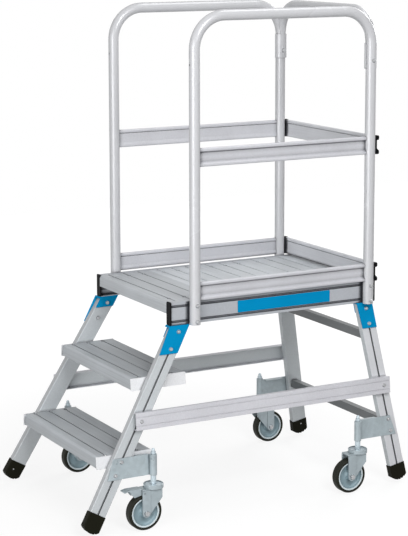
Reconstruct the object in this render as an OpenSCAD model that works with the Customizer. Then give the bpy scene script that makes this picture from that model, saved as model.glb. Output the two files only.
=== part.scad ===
// Mobile podium step: two treads, a guarded platform and four sprung castors
// Millimetres, +Z up, floor at zero, the steps face -Y

/* [Steps and platform] */
// Height from one tread top to the next
rise = 250; // [240:1:260]
// Gap under the rubber feet while the castors are extended
lift = 16; // [14:1:16]
// Depth of a tread or platform plank, front to back
plank_w = 204; // [196:1:206]
// Height of a tread or platform plank
plank_h = 40; // [36:1:40]
// Wall of the plank profile
plank_wall = 3; // [2.5:0.1:3.5]
// Radius of the rounded front nosing
nose_r = 12; // [8:0.5:14]
// Width of the return flanges under a plank
plank_lip = 15; // [10:1:20]
// Width of the long grooves in a plank
groove_w = 5; // [4:0.5:6]
// Depth of the long grooves in a plank
groove_deep = 4; // [3:0.5:5]
// First groove behind the front edge
groove_first = 36; // [32:1:40]
// Distance between grooves
groove_pitch = 60.5; // [58:0.5:62]
// Length of the slot at each groove end
slot_l = 15; // [12:1:18]
// Width of the slot at each groove end
slot_w = 13; // [10:1:16]
// Slot distance from the end of a platform plank
slot_inset = 48; // [40:1:60]
// Slot distance from the end of a tread
tread_slot_inset = 13; // [10:1:20]
// Number of platform planks
plank_count = 4; // [3:1:5]
// Joint between platform planks
plank_gap = 0.8; // [0.5:0.1:1.5]
// Depth of the profile behind the last plank
rear_trim_w = 26; // [20:1:26]
// Thickness of the plate on each end of a tread
end_plate_t = 3; // [2:0.5:4]
// Overhang of a tread end plate, front and back
end_plate_over = 4; // [2:0.5:6]
// Rise of a tread end plate above the tread
end_plate_rise = 3; // [1:0.5:4]
// Step back of that rise from the end of the tread
end_plate_step = 1; // [0.5:0.5:1.5]

/* [Side beams] */
// Height of a side beam
beam_h = 80; // [78:1:82]
// Width of a side beam
beam_w = 28; // [26:1:30]
// Wall of the beam profile
beam_wall = 3; // [2.5:0.1:3.5]
// Height of the lips at the top and bottom of the outer face
beam_lip = 9; // [8:0.5:10]
// Height of the grooves beside the lips
beam_groove_h = 9; // [8:0.5:10]
// Depth of the grooves beside the lips
beam_groove_deep = 5; // [4:0.5:6]
// Ledge that carries the planks
ledge_w = 16; // [12:1:20]
// Front end of the beam behind the platform edge
beam_setback = 6; // [5:0.5:8]
// Thickness of the beam end caps
cap_t = 4; // [3:0.5:5]
// Overhang of the beam end caps
cap_over = 2; // [1:0.5:2]
// Corner radius of the beam end caps
cap_r = 6; // [4:0.5:8]

/* [Guard] */
// Height of the guard above the platform
guard_h = 1000; // [980:5:1020]
// Posts from the centre plane
post_x = 312; // [305:1:320]
// Front posts behind the front edge of the platform
post_front_inset = 89; // [80:1:95]
// Rear posts before the rear edge of the platform
post_rear_inset = 37; // [34:1:45]
// Diameter of the guard tube
tube_d = 38; // [36:0.5:38]
// Wall of the guard tube
tube_wall = 2; // [1.5:0.1:2.5]
// Bend radius of the guard tube, on its centre line
bend_r = 115; // [105:1:120]
// Thickness of the flattened ends of the rear top rail
saddle_t = 5; // [4:0.5:6]
// Lower end of the flattened ends, below the guard top
saddle_drop = 225; // [215:1:235]
// Step where the rear top rail's tube meets its flattened ends
saddle_step = 1; // [0.5:0.1:2]
// Screw of the rear top rail, below the guard top
saddle_screw_drop = 196; // [190:1:200]
// Hole in the front posts, below the guard top
post_hole_drop = 184; // [175:1:190]
// Diameter of the hole in the front posts
post_hole_d = 7; // [6:0.5:8]
// Lower post bolt above the beam's underside
post_bolt_low = 11.5; // [11:0.5:12]
// Distance between the two bolts of a post
post_bolt_pitch = 56; // [55:0.5:56.5]

/* [Knee rails and toe boards] */
// Height of the rail profile
rail_h = 65; // [63:1:67]
// Depth of the rail profile
rail_d = 14; // [13:0.5:16]
// Set-back of the web from the inner side
rail_relief = 2; // [1:0.5:3]
// Web of the rail profile
rail_web = 3; // [2.5:0.1:3.5]
// Height of the top lip
rail_lip = 14; // [12:0.5:15]
// Corner radius of the top lip
rail_lip_r = 6; // [5:0.5:6]
// Height of the bottom lip
rail_foot = 9; // [9:0.5:10]
// Corner radius of the bottom lip
rail_foot_r = 4.5; // [4:0.1:4.5]
// Height of the slope above the bottom lip
rail_slope = 9; // [7:0.5:11]
// Wall of the hollow lips
rail_wall = 2; // [1.5:0.1:2.5]
// Middle of the knee rails above the platform
knee_mid = 500; // [480:5:520]
// Gap under the toe boards
toe_gap = 3; // [2:0.5:6]
// Rear rails past the post axes
rear_rail_over = 4; // [2:0.5:8]
// Length of the rear rails' end caps
rail_cap_l = 12; // [10:1:16]
// Wall of the rear rails' end caps
rail_cap_t = 1.5; // [1.2:0.1:2]

/* [Legs] */
// Lean of the front legs
lean = 30; // [29.5:0.1:30.5]
// Lean of the rear legs
rear_lean = 10.5; // [10:0.1:11]
// Sideways splay of the legs
splay = 5.6; // [5.4:0.1:5.8]
// Outer leg faces outside the outer beam faces, at the top
leg_out = 2; // [1:0.5:3]
// Front edge of the front legs behind the platform's, under the beams
front_leg_inset = 8; // [7:0.5:10]
// Front edge of the rear legs before the post axes, under the beams
rear_leg_inset = 35; // [33:0.5:37]
// Depth of the leg profile
leg_d = 60; // [58:0.5:61]
// Thickness of the leg profile
leg_t = 25; // [24:0.5:26]
// Wall of the leg profile
leg_wall = 2.5; // [2:0.1:3]
// Corner radius of the leg profile
leg_r = 2; // [1:0.5:2]
// Width of the groove down the outer face
leg_groove_w = 7; // [6:0.5:8]
// Depth of the groove down the outer face
leg_groove_deep = 7; // [5:0.5:8]

/* [Leg brackets] */
// Thickness of the bracket plates
bracket_t = 4; // [3:0.5:4.5]
// Height of the outer plates
bracket_drop = 95; // [92:1:98]
// Height of the inner plates
bracket_inner_drop = 38; // [36:1:42]
// Flare of the front brackets at the top
front_flare = 9; // [6:0.5:10]
// Flare of the rear brackets at the top
rear_flare = 5; // [3:0.5:8]
// Upper bracket bolt below the beam
bracket_bolt_high = 22; // [20:0.5:24]
// Lower bracket bolt below the beam
bracket_bolt_low = 79; // [76:0.5:82]

/* [Feet] */
// Wall of the rubber sleeve
foot_wall = 2; // [2:0.5:4]
// Height of the front sleeves, along the leg
front_foot_h = 74; // [68:1:78]
// Height of the rear sleeves, along the leg
rear_foot_h = 60; // [56:1:66]
// Thickness of the sole at the middle of the leg's end
foot_sole = 20; // [18:0.5:24]
// Radius of the rocker sole
sole_r = 42; // [40:1:46]
// Corner radius of the rubber sleeve
foot_r = 3; // [2:0.5:4]
// Width of the grooves in the sole
tread_w = 4; // [3:0.5:5]
// Depth of the grooves in the sole
tread_deep = 3; // [2:0.5:4]

/* [Braces] */
// Height of a side brace
brace_h = 60; // [56:1:62]
// Depth of a side brace
brace_t = 20; // [18:0.5:22]
// Wall of a side brace
brace_wall = 3; // [2.5:0.1:3.5]
// Underside of the right side brace above the feet
brace_level = 331; // [325:1:337]
// Drop of the left side brace below the right one
brace_skew = 16; // [0:1:20]
// Front end of the side braces before the front legs' top edge
brace_fore = 165; // [163:1:167]
// Rear end of the side braces behind the rear legs' top edge
brace_aft = 115; // [113:1:117]
// Width of the lines in the outer face
brace_line = 3.5; // [2:0.5:5]
// Depth of the lines in the outer face
brace_line_deep = 1.5; // [1:0.1:2]
// Lines from the top and the underside of a side brace
brace_line_drop = 15; // [13:0.5:17]
// Height of a rear cross brace
cross_h = 30; // [28:1:34]
// Depth of a rear cross brace
cross_w = 25; // [22:0.5:26]
// Wall of a rear cross brace
cross_wall = 2; // [1.5:0.1:2.5]
// Underside of the upper cross brace above the feet
cross_high_level = 531; // [525:1:535]
// Underside of the lower cross brace above the feet
cross_low_level = 203; // [198:1:208]
// Cross braces behind the front edge of the rear legs
cross_inset = 14; // [10:0.5:16]

/* [Castor brackets] */
// Castor axes outside the outer leg faces at their top
castor_out = 57; // [56:0.5:58]
// Front castor axes before the front legs' top edge
front_castor_fore = 105; // [102:1:108]
// Rear castor axes before the rear legs' top edge
rear_castor_fore = 29; // [26:1:32]
// Thickness of the bracket plate
plate_t = 3; // [2.5:0.1:3.5]
// Height of the bracket plate
plate_h = 71; // [66:1:72]
// Length of the front plates from the castor axis, at the top
front_plate_l = 146; // [142:1:148]
// Length of the rear plates from the castor axis, at the top
rear_plate_l = 148; // [144:1:152]
// Slant of the plates' outer ends
plate_slant = 24; // [18:1:28]
// Depth of the folded flanges
flange_d = 16; // [12:1:18]
// Length of the flanges on the front brackets
front_flange_l = 44; // [36:1:46]
// Length of the flanges on the rear brackets
rear_flange_l = 78; // [70:1:80]
// Underside of the guide tube above the floor
tube_low = 188; // [187:0.5:190]
// Length of the guide tube
guide_l = 73; // [72:1:76]
// Outer diameter of the guide tube
guide_tube_d = 26; // [26:0.5:28]
// Thickness of the guide tube's end
guide_end_t = 4; // [3:0.5:5]
// Upper plate bolt below the plate's top
plate_bolt_high = 13; // [12:0.5:15]
// Lower plate bolt below the plate's top
plate_bolt_low = 56; // [52:0.5:58]

/* [Castors] */
// Diameter of the wheels
wheel_d = 125; // [123:0.5:125]
// Width of the tyres
wheel_w = 32; // [30:0.5:33]
// Wheel axle behind the swivel axis
trail = 38; // [36:0.5:40]
// Rubber thickness of the tyres
tyre_deep = 10; // [8:0.5:12]
// Crown radius of the tyre edges
tyre_r = 5; // [4:0.5:6]
// Rim thickness
rim_t = 6; // [5:0.5:7]
// Width of the rim
rim_w = 28; // [26:0.5:29]
// Thickness of the wheel disc
disc_t = 7; // [6:0.5:9]
// Radius of the bowl between the disc, the rim and the hub
bowl_r = 10; // [6:0.5:12]
// Diameter of the hub
hub_d = 30; // [26:0.5:32]
// Width of the hub
hub_w = 34; // [32:0.5:35]
// Diameter of the axle
axle_d = 10; // [9:0.5:11]
// Diameter of the axle spacers
spacer_d = 18; // [16:0.5:20]
// Space between the fork plates
fork_in = 39; // [38:0.5:40]
// Thickness of the fork plates
fork_t = 3.5; // [3:0.1:4]
// Raised strip on the fork plates
fork_step = 2; // [1:0.1:2.5]
// Width of the raised strip
fork_strip_w = 30; // [26:0.5:32]
// Radius round the axle on a fork plate
fork_eye_r = 15; // [13:0.5:16]
// Fork plate in front of the swivel axis
fork_lead = 23; // [20:0.5:25]
// Underside of the fork crown above the floor
crown_z = 142; // [141:0.5:143]
// Thickness of the fork crown
crown_t = 4; // [3.5:0.5:5]
// Height where the fork plates start to narrow
fork_knee_z = 112; // [108:1:120]
// Slope of the fork plates' leading edge, from upright
fork_rake = 40; // [38:1:42]
// Diameter of the swivel head
head_d = 70; // [69:0.5:74]
// Wall of the swivel head
head_wall = 4; // [3:0.5:5]
// Bevel of the swivel head's edges
head_bevel = 3; // [2:0.5:4]
// Top of the swivel head above the floor
head_z = 159; // [158:0.5:162]
// Top of the lower race above the floor
race_z = 149; // [148:0.5:150]
// Thickness of the upper race
race_t = 7; // [6:0.5:8]
// Diameter of the king pin
king_d = 12; // [11:0.5:13]
// Diameter of the king pin's rivet head
rivet_d = 22; // [20:0.5:24]
// Thickness of the rivet head
rivet_t = 4; // [3:0.5:5]
// Diameter of the stem
stem_d = 20; // [19:0.5:21]
// Stem inside the guide tube while extended
stem_in = 20; // [18:1:24]
// Diameter of the guide rod
rod_d = 10; // [9:0.5:10]
// Size of the lock nut across its corners
lock_nut_d = 18; // [17:0.5:20]
// Height of the lock nut
lock_nut_h = 10; // [8:0.5:12]
// Diameter of the lock nut's dome
dome_d = 12; // [11:0.5:13]
// Height of the straight part of the dome
dome_h = 6; // [4:0.5:7]
// Wire diameter of the spring
wire_d = 2.4; // [2:0.1:2.6]
// Turns of the spring
spring_turns = 8; // [6:1:9]

/* [Brake pedals] */
// Width of the pedal
pedal_w = 34; // [30:0.5:36]
// Pedal tip from the swivel axis
pedal_reach = 118; // [114:1:122]
// Pedal top above the floor
pedal_z = 150; // [149:0.5:152]
// Thickness of the pedal plate
pedal_t = 3; // [2.5:0.5:3.5]
// Fall of the pedal plate at its tip
pedal_tip_drop = 4; // [3:0.5:5]
// Pedal pivot from the swivel axis
pivot_y = 45; // [44:0.5:46]
// Pedal pivot above the floor
pivot_z = 134; // [133:0.5:135]
// Diameter of the pedal pin
pivot_d = 6; // [5:0.5:7]
// Height of the brake shoe above the wheel axle, at its lowest
shoe_z = 59; // [58:0.5:61]
// Brake shoe from the swivel axis
shoe_y = 80; // [78:0.5:82]

/* [Fasteners] */
// Shank diameter
bolt_d = 8; // [7:0.5:8]
// Head diameter
bolt_head_d = 15; // [14:0.5:16]
// Head height
bolt_head_h = 6; // [5:0.5:7]
// Taper of the domed heads
head_share = 0.62; // [0.5:0.01:0.8]
// Nut size across its corners
nut_d = 14; // [13:0.5:14.5]
// Nut height
nut_h = 6; // [5:0.5:7]

/* [Hidden] */
// Clearances and the overrun of cutting shapes
fit_gap = 0.1;
bolt_gap = 0.3;
slide_gap = 0.4;
turn_gap = 0.3;
overrun = 1;
far = 2000;
$fn = 64;
hex = 6;

// Middle of the footprint, from the middle between the posts
footprint_mid = -151.54;

// Levels and the main lines of the frame
rise_count = 3;
deck_z = lift + rise_count*rise;
beam_z = deck_z - beam_h;
beam_x = post_x - tube_d/2;
plank_x = beam_x - beam_w;
deck_depth = plank_count*plank_w + rear_trim_w;
post_y = (deck_depth - post_front_inset - post_rear_inset)/2;
deck_front = -post_y - post_front_inset;
deck_rear = deck_front + plank_count*plank_w;
beam_front = deck_front + beam_setback;
beam_rear = deck_front + deck_depth;
leg_x = beam_x + leg_out;
front_leg_y = deck_front + front_leg_inset;
rear_leg_y = post_y - rear_leg_inset;
brace_front = front_leg_y - brace_fore;
brace_rear = rear_leg_y + brace_aft;
castor_x = leg_x + castor_out;
front_castor_y = front_leg_y - front_castor_fore;
rear_castor_y = rear_leg_y - rear_castor_fore;
going = rise*tan(lean)/cos(splay);
guard_axis = deck_z + guard_h - tube_d/2;
bend_z = guard_axis - bend_r;
tube_r = tube_d/2;
axle_z = wheel_d/2;
guide_top = tube_low + guide_l;
stem_top = tube_low + stem_in;
fork_x = fork_in/2;
plate_top = tube_low + plate_h;
rim_r = wheel_d/2 - tyre_deep;

// Corner numbers run front left, front right, rear left, rear right
function side_of(k) = k % 2 == 0 ? -1 : 1;
function end_of(k) = k < 2 ? -1 : 1;
function castor_y(f) = f < 0 ? front_castor_y : rear_castor_y;

// Lines in the splayed plane of a side, where height runs up from the beam's underside
function slope_z(z) = (z - beam_z)/cos(splay);
function leg_y(f) = f < 0 ? front_leg_y : rear_leg_y;
function leg_turn(f) = f < 0 ? -lean : rear_lean;
function leg_edge(f, z) = leg_y(f) - z*tan(leg_turn(f));
function leg_run(f) = leg_d/cos(leg_turn(f));
function leg_mid(f, z) = leg_edge(f, z) + leg_run(f)/2;

// Where a leg's centre line reaches a height, along the leg and across the floor
function axis_run(f, z) = slope_z(z)/cos(leg_turn(f)) - leg_d/2*tan(leg_turn(f));
function axis_y(f, z) = leg_y(f) + leg_d/2*cos(leg_turn(f)) - axis_run(f, z)*sin(leg_turn(f));
function brace_z(s) = lift + brace_level - (s < 0 ? brace_skew : 0);

// Frames of reference

// From the middle between the posts to the middle of the footprint
module placed() {
  translate([0, -footprint_mid, 0]) children();
}

// Mirrored to the left for s = -1
module handed(s) {
  mirror([(1 - s)/2, 0, 0]) children();
}

// The splayed plane of a side: x out of the leg's outer face, z up the slope
module side(s) {
  handed(s) translate([leg_x, 0, beam_z]) rotate([0, -splay, 0]) children();
}

// Along a leg: z up the leg, y from its front face to its rear face
module along_leg(f) {
  translate([0, leg_y(f), 0]) rotate([leg_turn(f), 0, 0]) children();
}

// The middle of a foot's rocker, on the leg's centre line, with z up the leg
module rocker(f) {
  translate([0, axis_y(f, lift + sole_r), lift + sole_r]) rotate([leg_turn(f), 0, 0]) children();
}

// Everything below a level of the frame of reference
module below(z) {
  translate([-far, -far, z - far]) cube([2*far, 2*far, far]);
}

// A castor's swivel axis: right-hand wheels trail forward, left-hand ones backward
module castor(k) {
  turn = side_of(k) > 0 ? 0 : 180;
  placed() translate([side_of(k)*castor_x, castor_y(end_of(k)), 0]) rotate([0, 0, turn]) children();
}

// A section drawn in Y and Z, extruded along X
module across(l) {
  rotate([90, 0, 90]) linear_extrude(l) children();
}

// Shared shapes

module rounded(w, h, r) {
  translate([r, 0]) square([w - 2*r, h]);
  translate([0, r]) square([w, h - 2*r]);
  for (x = [r, w - r], y = [r, h - r]) translate([x, y]) circle(r);
}

// A bolt along X with its head's seat at zero and the nut's seat at -grip
module bolt(grip) {
  rotate([0, 90, 0]) {
    cylinder(h = bolt_head_h, d1 = bolt_head_d, d2 = bolt_head_d*head_share);
    translate([0, 0, -grip - nut_h]) cylinder(h = grip + nut_h + overrun, d = bolt_d);
    translate([0, 0, -grip - nut_h]) cylinder(h = nut_h, d = nut_d, $fn = hex);
  }
}

// The hole for a bolt with its head's seat at zero
module bolt_hole(grip) {
  translate([-grip - overrun, 0, 0]) rotate([0, 90, 0])
    cylinder(h = grip + 2*overrun, d = bolt_d + 2*bolt_gap);
}

// Places of the bolts through a leg: height up the slope, head seat, and nut seat inward
// Brace and castor bolts end in blind nuts behind the leg's groove
blind_seat = leg_groove_deep + leg_wall;
function leg_bolts(s, f) = [
  [-bracket_bolt_high, bracket_t, leg_t + bracket_t],
  [-bracket_bolt_low, bracket_t, leg_t],
  [slope_z(brace_z(s) + brace_h/2), brace_t, blind_seat],
  [slope_z(plate_top - plate_bolt_high), plate_t, blind_seat],
  [slope_z(plate_top - plate_bolt_low), plate_t, blind_seat]];

module leg_holes(s, f) {
  for (b = leg_bolts(s, f)) translate([b[1], leg_mid(f, b[0]), b[0]]) bolt_hole(b[1] + b[2]);
}

// Places of the bolts through a post, above the beam's underside
POST_BOLTS = [post_bolt_low, post_bolt_low + post_bolt_pitch];
post_grip = tube_d + beam_groove_deep + beam_wall;
saddle_grip = tube_d + saddle_t;
saddle_screw_z = deck_z + guard_h - saddle_screw_drop;

module post_holes(s) {
  for (y = [-post_y, post_y], v = POST_BOLTS)
    handed(s) translate([post_x + tube_r, y, beam_z + v]) bolt_hole(post_grip);
}

module saddle_hole(s) {
  handed(s) translate([post_x + tube_r, post_y, saddle_screw_z]) bolt_hole(saddle_grip);
}

// Platform and treads

function groove_y(i) = groove_first + i*groove_pitch;
GROOVES = [0, 1, 2];

module plank_section(nosed) {
  nose = nosed ? nose_r : 0;
  difference() {
    union() {
      translate([nose, plank_h - plank_wall]) square([plank_w - nose, plank_wall]);
      square([plank_wall, plank_h - nose]);
      translate([plank_w - plank_wall, 0]) square([plank_wall, plank_h]);
      square([plank_lip, plank_wall]);
      translate([plank_w - plank_lip, 0]) square([plank_lip, plank_wall]);
      for (i = GROOVES) {
        translate([groove_y(i) - groove_w, plank_h - groove_deep - plank_wall])
          square([2*groove_w, groove_deep + plank_wall]);
        translate([groove_y(i) - plank_wall/2, 0]) square([plank_wall, plank_h - groove_deep]);
      }
      if (nosed) translate([nose_r, plank_h - nose_r]) circle(nose_r);
    }
    for (i = GROOVES)
      translate([groove_y(i) - groove_w/2, plank_h - groove_deep])
        square([groove_w, groove_deep + overrun]);
  }
}

// A plank from its front lower edge, with its slots at the given half length
module plank(half, nosed, slot_x) {
  difference() {
    translate([-half, 0, 0]) across(2*half) plank_section(nosed);
    for (s = [-1, 1], i = GROOVES)
      translate([s*slot_x - slot_w/2, groove_y(i) - slot_l/2, plank_h - groove_deep - plank_wall - overrun])
        cube([slot_w, slot_l, plank_h]);
  }
}

module deck_nosing() {
  color("lightgrey") placed() translate([0, deck_front, deck_z - plank_h])
    plank(plank_x, true, plank_x - slot_inset);
}

module deck_planks() {
  color("lightgrey") placed() {
    for (i = [1:plank_count - 1]) translate([0, deck_front + i*plank_w, deck_z - plank_h])
      intersection() {
        plank(plank_x, false, plank_x - slot_inset);
        translate([-far, plank_gap, 0]) cube([2*far, plank_w - plank_gap, plank_h]);
      }
    translate([-plank_x, deck_rear + plank_gap, deck_z - plank_h]) across(2*plank_x) difference() {
      square([rear_trim_w - plank_gap, plank_h]);
      translate([plank_wall, plank_wall])
        square([rear_trim_w - plank_gap - 2*plank_wall, plank_h - 2*plank_wall]);
    }
  }
}

// Half the length of a tread at the height of its top
function tread_half(z) = leg_x + (beam_z - z)*tan(splay) - (leg_t + end_plate_t)/cos(splay);
function tread_z(level) = lift + level*rise;
function tread_front(level) = deck_front - (rise_count - level)*going;

module tread(level) {
  color("silver") placed() difference() {
    translate([0, tread_front(level), tread_z(level) - plank_h])
      plank(tread_half(0), true, tread_half(tread_z(level)) - tread_slot_inset);
    for (s = [-1, 1]) side(s) translate([-leg_t - end_plate_t, -far, -far]) cube([far, 2*far, 2*far]);
  }
}

module lower_tread() {
  tread(1);
}

module upper_tread() {
  tread(2);
}

module tread_end_plates() {
  color("gainsboro") placed() for (s = [-1, 1], level = [1, 2])
    side(s) translate([-leg_t - end_plate_t, tread_front(level) - end_plate_over, 0])
      translate([0, 0, slope_z(tread_z(level) - plank_h)]) {
        cube([end_plate_t, plank_w + 2*end_plate_over, plank_h]);
        translate([end_plate_step, 0, 0])
          cube([end_plate_t - end_plate_step, plank_w + 2*end_plate_over, plank_h + end_plate_rise]);
      }
}

// Section of a beam: x inward from the outer face, y up
module beam_section() {
  back = beam_groove_deep + beam_wall;
  band = beam_lip + beam_groove_h;
  ledge = beam_h - plank_h;
  translate([0, band]) square([beam_wall, beam_h - 2*band]);
  for (v = [0, beam_h - beam_lip]) translate([0, v]) square([back, beam_lip]);
  for (v = [beam_lip - beam_wall, beam_h - band - beam_wall])
    translate([beam_groove_deep, v]) square([beam_wall, beam_groove_h + 2*beam_wall]);
  for (v = [band, beam_h - band - beam_wall]) translate([0, v]) square([back, beam_wall]);
  for (v = [0, beam_h - beam_wall]) translate([0, v]) square([beam_w, beam_wall]);
  translate([0, ledge - beam_wall]) square([beam_w + ledge_w, beam_wall]);
  translate([beam_w - beam_wall, ledge - beam_wall]) square([beam_wall, plank_h + beam_wall]);
}

module platform_beam(s) {
  color("lightgrey") placed() difference() {
    handed(s) translate([beam_x, beam_rear, beam_z]) rotate([90, 0, 0])
      linear_extrude(beam_rear - beam_front) mirror([1, 0]) beam_section();
    post_holes(s);
  }
}

// Legs, brackets and feet

// Section of a leg: x inward from the outer face is negative, y from front to rear
module leg_section() {
  mid = leg_d/2;
  difference() {
    translate([-leg_t, 0]) rounded(leg_t, leg_d, leg_r);
    translate([-leg_groove_deep, mid - leg_groove_w/2]) square([leg_groove_deep + overrun, leg_groove_w]);
    difference() {
      translate([leg_wall - leg_t, leg_wall]) square([leg_t - 2*leg_wall, leg_d - 2*leg_wall]);
      translate([-leg_groove_deep - leg_wall, mid - leg_groove_w/2 - leg_wall])
        square([leg_t, leg_groove_w + 2*leg_wall]);
    }
  }
}

module leg(s, f) {
  color("gainsboro") placed() difference() {
    side(s) difference() {
      along_leg(f) translate([0, 0, -far]) linear_extrude(far + leg_d) leg_section();
      translate([-far, -far, -bracket_t]) cube([2*far, 2*far, far]);
      leg_holes(s, f);
    }
    rocker(f) below(foot_sole - sole_r);
  }
}

// Outline of a bracket plate over a leg, in Y and height up the slope, left long at the top
module bracket_outline(f, drop, flare) {
  polygon([[leg_edge(f, 0) - flare, bracket_t], [leg_edge(f, -drop), -drop],
    [leg_edge(f, -drop) + leg_run(f), -drop], [leg_edge(f, 0) + leg_run(f), bracket_t]]);
}

module leg_brackets(f, flare) {
  color("dodgerblue") placed() for (s = [-1, 1]) difference() {
    side(s) difference() {
      union() {
        across(bracket_t) bracket_outline(f, bracket_drop, flare);
        translate([-leg_t - bracket_t, 0, 0]) across(bracket_t)
          bracket_outline(f, bracket_inner_drop, 0);
        translate([-leg_t - bracket_t, 0, 0]) across(leg_t + 2*bracket_t) intersection() {
          bracket_outline(f, bracket_drop, flare);
          translate([-far, -bracket_t]) square([2*far, far]);
        }
      }
      leg_holes(s, f);
    }
    translate([-far, -far, beam_z]) cube([2*far, 2*far, far]);
  }
}

module front_leg_brackets() {
  leg_brackets(-1, front_flare);
}

module rear_leg_brackets() {
  leg_brackets(1, rear_flare);
}

// A leg's outline grown all round, cut at the height of the sleeve
module leg_block(s, f, grow, r) {
  foot_h = f < 0 ? front_foot_h : rear_foot_h;
  side(s) along_leg(f) translate([-leg_t - grow, -grow, -far])
    linear_extrude(far + axis_run(f, lift) + foot_h) rounded(leg_t + 2*grow, leg_d + 2*grow, r);
}

// Grooves across the sole, turned about the middle of the rocker
SOLE_GROOVES = [-1.5, -0.5, 0.5, 1.5];
sole_pitch = 3*tread_w/sole_r*180/PI;

module feet(f) {
  color([0.1, 0.1, 0.08]) placed() for (s = [-1, 1]) difference() {
    intersection() {
      leg_block(s, f, foot_wall, foot_r);
      rocker(f) {
        rotate([0, 90, 0]) cylinder(h = 2*far, r = sole_r, center = true);
        translate([-far, -far, 0]) cube([2*far, 2*far, far]);
      }
    }
    difference() {
      leg_block(s, f, 0, leg_r);
      rocker(f) below(foot_sole - sole_r);
    }
    rocker(f) for (i = SOLE_GROOVES) rotate([i*sole_pitch, 0, 0])
      translate([-far, -tread_w/2, -sole_r - overrun]) cube([2*far, tread_w, tread_deep + overrun]);
  }
}

module front_feet() {
  feet(-1);
}

module rear_feet() {
  feet(1);
}

// Braces

// Section of a side brace: x out of the legs, y up
module brace_section() {
  difference() {
    square([brace_t, brace_h]);
    translate([-overrun, brace_wall]) square([brace_t - brace_wall + overrun, brace_h - 2*brace_wall]);
    for (v = [brace_line_drop, brace_h - brace_line_drop])
      translate([brace_t - brace_line_deep, v - brace_line/2])
        square([brace_line_deep + overrun, brace_line]);
  }
}

module side_brace(s) {
  color("gainsboro") placed() side(s) difference() {
    translate([0, brace_rear, slope_z(brace_z(s))]) rotate([90, 0, 0])
      linear_extrude(brace_rear - brace_front) brace_section();
    leg_holes(s, -1);
    leg_holes(s, 1);
  }
}

module cross_brace(level) {
  y = leg_edge(1, slope_z(lift + level + cross_h)) + cross_inset;
  color("darkgrey") placed() difference() {
    translate([-far/2, y, lift + level]) across(far) difference() {
      square([cross_w, cross_h]);
      translate([cross_wall, cross_wall]) square([cross_w - 2*cross_wall, cross_h - 2*cross_wall]);
    }
    for (s = [-1, 1]) side(s) translate([-leg_t, -far, -far]) cube([far, 2*far, 2*far]);
  }
}

module rear_brace_upper() {
  cross_brace(cross_high_level);
}

module rear_brace_lower() {
  cross_brace(cross_low_level);
}

// Guard

// A hoop's centre line swept with the radius r, starting up from the foot of its posts
module hoop_path(r, start) {
  for (m = [0, 1]) mirror([0, m, 0]) {
    translate([0, post_y, beam_z + start]) cylinder(h = bend_z - beam_z - start, r = r);
    translate([0, post_y - bend_r, bend_z]) rotate([90, 0, 90]) rotate_extrude(angle = 90)
      translate([bend_r, 0]) circle(r);
  }
  translate([0, post_y - bend_r, guard_axis]) rotate([90, 0, 0]) cylinder(h = 2*(post_y - bend_r), r = r);
}

module guard_hoop(s) {
  color("whitesmoke") placed() difference() {
    translate([s*post_x, 0, 0]) difference() {
      hoop_path(tube_r, 0);
      hoop_path(tube_r - tube_wall, tube_wall);
    }
    post_holes(s);
    translate([s*post_x, -post_y, deck_z + guard_h - post_hole_drop]) rotate([90, 0, 0])
      cylinder(h = tube_d, d = post_hole_d);
    saddle_hole(s);
  }
}

// The rear rail's centre line swept with the radius r
module rear_rail_path(r) {
  corner = post_x - saddle_t + saddle_step - bend_r;
  for (m = [0, 1]) mirror([m, 0, 0]) translate([corner, post_y, bend_z]) rotate([90, 0, 0])
    rotate_extrude(angle = 90) translate([bend_r, 0]) circle(r);
  translate([-corner, post_y, guard_axis]) rotate([0, 90, 0]) cylinder(h = 2*corner, r = r);
}

module rear_top_rail() {
  low = deck_z + guard_h - saddle_drop;
  clear_r = tube_r + fit_gap;
  color("whitesmoke") placed() difference() {
    union() {
      difference() {
        rear_rail_path(tube_r);
        rear_rail_path(tube_r - tube_wall);
      }
      for (s = [-1, 1]) intersection() {
        translate([s*post_x, post_y, low]) cylinder(h = bend_z - low, r = tube_r + saddle_t);
        translate([-post_x, 0, 0]) cube([2*post_x, far, far]);
      }
    }
    for (s = [-1, 1]) {
      translate([s*post_x, post_y, low - overrun]) cylinder(h = saddle_drop, r = clear_r);
      translate([s*post_x - clear_r, post_y - far, bend_z]) cube([2*clear_r, far, far]);
      saddle_hole(s);
    }
  }
}

// Outline of a knee rail or toe board, grown by g: x outward, y up from its underside
module rail_outline(g) {
  half = rail_d/2 + g;
  inner = rail_relief - rail_d/2 - g;
  outer = rail_relief + rail_web - rail_d/2 + g;
  slope_low = rail_foot + g;
  slope_high = slope_low + rail_slope;
  translate([-half, rail_h - rail_lip - g]) rounded(2*half, rail_lip + 2*g, rail_lip_r);
  translate([inner, 0]) square([outer - inner, rail_h - rail_lip]);
  translate([-half, -g]) rounded(2*half, rail_foot + 2*g, rail_foot_r);
  translate([-half, rail_foot_r]) square([2*half, slope_low - rail_foot_r]);
  polygon([[-half, slope_low], [half, slope_low], [outer, slope_high], [inner, slope_high]]);
}

module rail_section() {
  hollow = rail_d - 2*rail_wall;
  difference() {
    rail_outline(0);
    translate([-hollow/2, rail_h - rail_lip + rail_wall])
      rounded(hollow, rail_lip - 2*rail_wall, rail_lip_r - rail_wall);
    translate([-hollow/2, rail_wall]) rounded(hollow, rail_foot - rail_wall, rail_foot_r - rail_wall);
  }
}

module side_rail(s, z) {
  color("gainsboro") placed() difference() {
    handed(s) translate([post_x, post_y, z]) rotate([90, 0, 0]) linear_extrude(2*post_y) rail_section();
    translate([s*post_x, 0, 0]) hoop_path(tube_r + fit_gap, 0);
  }
}

rear_rail_y = post_y + tube_r + fit_gap + rail_cap_t + rail_d/2;
rear_rail_half = post_x + rear_rail_over;
knee_z = deck_z + knee_mid - rail_h/2;
toe_z = deck_z + toe_gap;

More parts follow.
